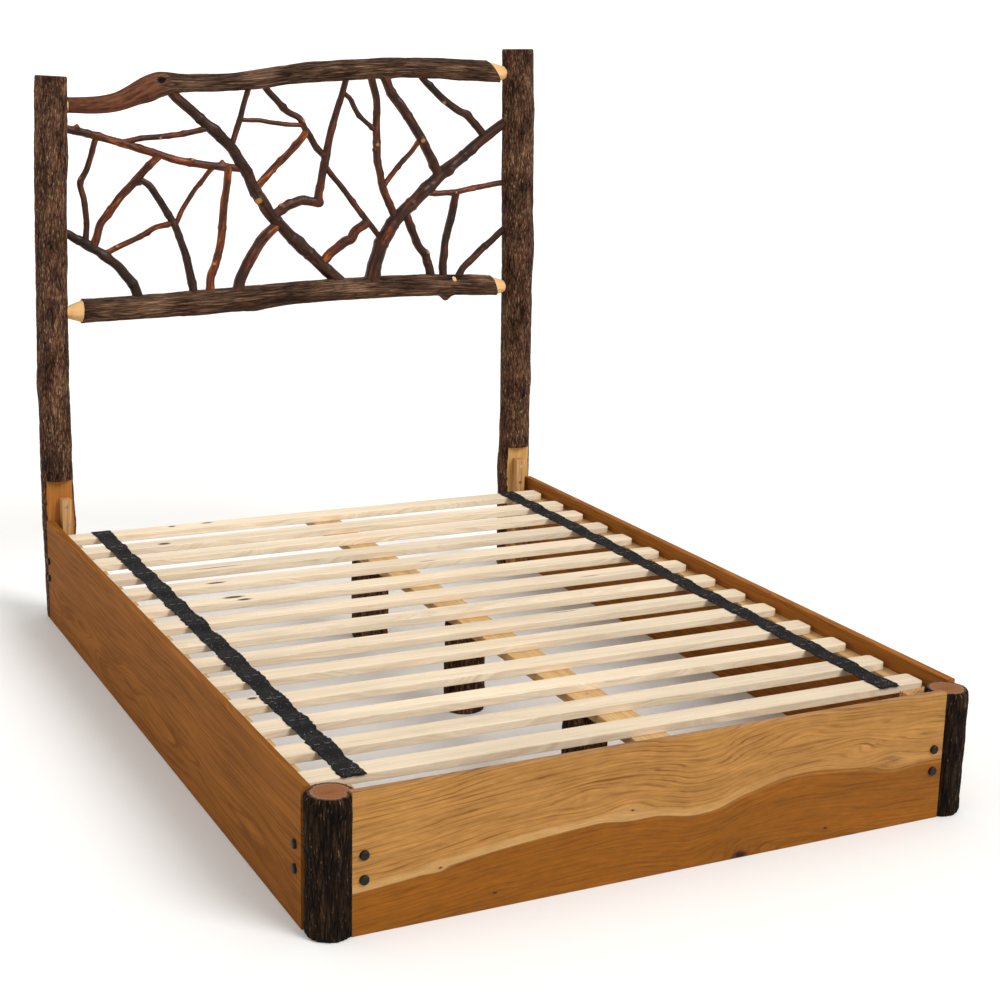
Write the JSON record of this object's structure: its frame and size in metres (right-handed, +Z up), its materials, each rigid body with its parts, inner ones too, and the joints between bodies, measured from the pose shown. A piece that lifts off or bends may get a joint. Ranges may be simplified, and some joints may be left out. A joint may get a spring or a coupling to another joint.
{
  "type": "log bed",
  "caption": "Rustic log bed with two bark-covered head posts, a headboard of interlaced twigs between two log rails, plank side rails and a roll of strapped slats.",
  "frame": {"origin": "on the floor, at the middle of the footprint", "axes": "+Z up, +Y towards the headboard, +X to the right of a person who stands at the foot and faces the headboard"},
  "size_m": [1.422, 2.0307, 1.4772],
  "materials": {
    "bark_log": "deeply ridged hickory bark left on, sawn ends bare",
    "bark_rail": "ridged bark left on, whittled pale ends",
    "twig_bark": "smooth thin bark left on, clear sealed",
    "stained_plank": "planed pine, brown stain, satin clear coat",
    "knotty_plank": "planed knotty pine, honey stain, satin clear coat",
    "block_pine": "sawn pine, unfinished",
    "cleat_pine": "sawn pine, unfinished",
    "slat_pine": "sawn pine slats, unfinished",
    "webbing": "woven black polypropylene webbing",
    "dark_bolt": "blackened domed head",
    "screw_steel": "zinc plated",
    "brad_steel": "bright drawn wire",
    "staple_wire": "galvanised wire"
  },
  "bodies": {
    "frame": {"bolts": "dark_bolt", "centre_beam": "cleat_pine", "centre_leg_1": "bark_log", "centre_leg_2": "bark_log", "centre_leg_3": "bark_log", "foot_block_left": "block_pine", "foot_block_right": "block_pine", "foot_panel": "knotty_plank", "foot_post_left": "bark_log", "foot_post_right": "bark_log", "head_block_left": "block_pine", "head_block_right": "block_pine", "head_post_left": "bark_log", "head_post_right": "bark_log", "head_rail_bottom": "bark_rail", "head_rail_top": "bark_rail", "side_rail_left": "stained_plank", "side_rail_right": "stained_plank", "slat_cleat_left": "cleat_pine", "slat_cleat_right": "cleat_pine", "twig_01": "twig_bark", "twig_02": "twig_bark", "twig_03": "twig_bark", "twig_04": "twig_bark", "twig_05": "twig_bark", "twig_06": "twig_bark", "twig_07": "twig_bark", "twig_08": "twig_bark", "twig_09": "twig_bark", "twig_10": "twig_bark", "twig_11": "twig_bark", "twig_12": "twig_bark", "twig_13": "twig_bark", "twig_14": "twig_bark", "twig_15": "twig_bark", "twig_16": "twig_bark", "twig_17": "twig_bark", "twig_18": "twig_bark", "twig_19": "twig_bark", "twig_20": "twig_bark", "twig_21": "twig_bark", "twig_22": "twig_bark", "twig_23": "twig_bark", "twig_24": "twig_bark", "twig_25": "twig_bark", "twig_26": "twig_bark", "twig_27": "twig_bark", "twig_28": "twig_bark", "twig_brads": "brad_steel", "wood_screws": "screw_steel"},
    "slat_roll": {"slats": "slat_pine", "strap_left": "webbing", "strap_right": "webbing", "strap_staples": "staple_wire"}
  },
  "joints": [
    {"name": "slat_lift", "type": "slide", "parent": "frame", "child": "slat_roll", "axis": [0, 0, 1], "range_m": [0, 0.15]}
  ]
}
